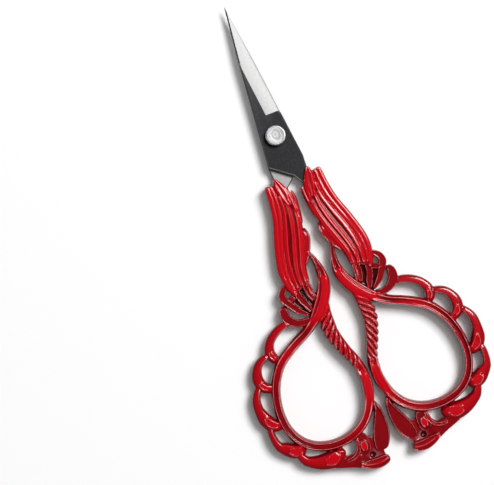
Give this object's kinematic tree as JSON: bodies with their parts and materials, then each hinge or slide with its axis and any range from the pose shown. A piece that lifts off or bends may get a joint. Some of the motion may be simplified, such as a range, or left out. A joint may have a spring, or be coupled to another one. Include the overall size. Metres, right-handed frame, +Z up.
{
  "type": "sewing scissors",
  "caption": "Small sewing scissors with slim pointed blades and cast, red-enamelled handles of feathers, leaf scallops and rope twist, hinged on a domed pivot screw.",
  "frame": {"origin": "centre of the pivot nut's flat back face, on the pivot axis, at the surface the closed scissors lie on", "axes": "+Y from the pivot to the blade tips, +Z up along the pivot axis from the surface to the domed head, +X to the right handle"},
  "size_m": [0.0602, 0.1209, 0.0049],
  "materials": {
    "blade_steel": "dark satin with a bright ground bevel",
    "enamel": "gloss red enamel on a casting",
    "pivot_metal": "satin"
  },
  "bodies": {
    "rear_half": {"rear_blade": "blade_steel", "left_handle": "enamel", "pivot_barrel": "pivot_metal", "pivot_screw": "pivot_metal", "pivot_washer": "pivot_metal"},
    "front_half": {"front_blade": "blade_steel", "right_handle": "enamel"}
  },
  "joints": [
    {"name": "pivot_hinge", "type": "hinge", "parent": "rear_half", "child": "front_half", "pos_m": [0, 0, 0], "axis": [0, 0, 1], "range_deg": [0, 70]}
  ]
}
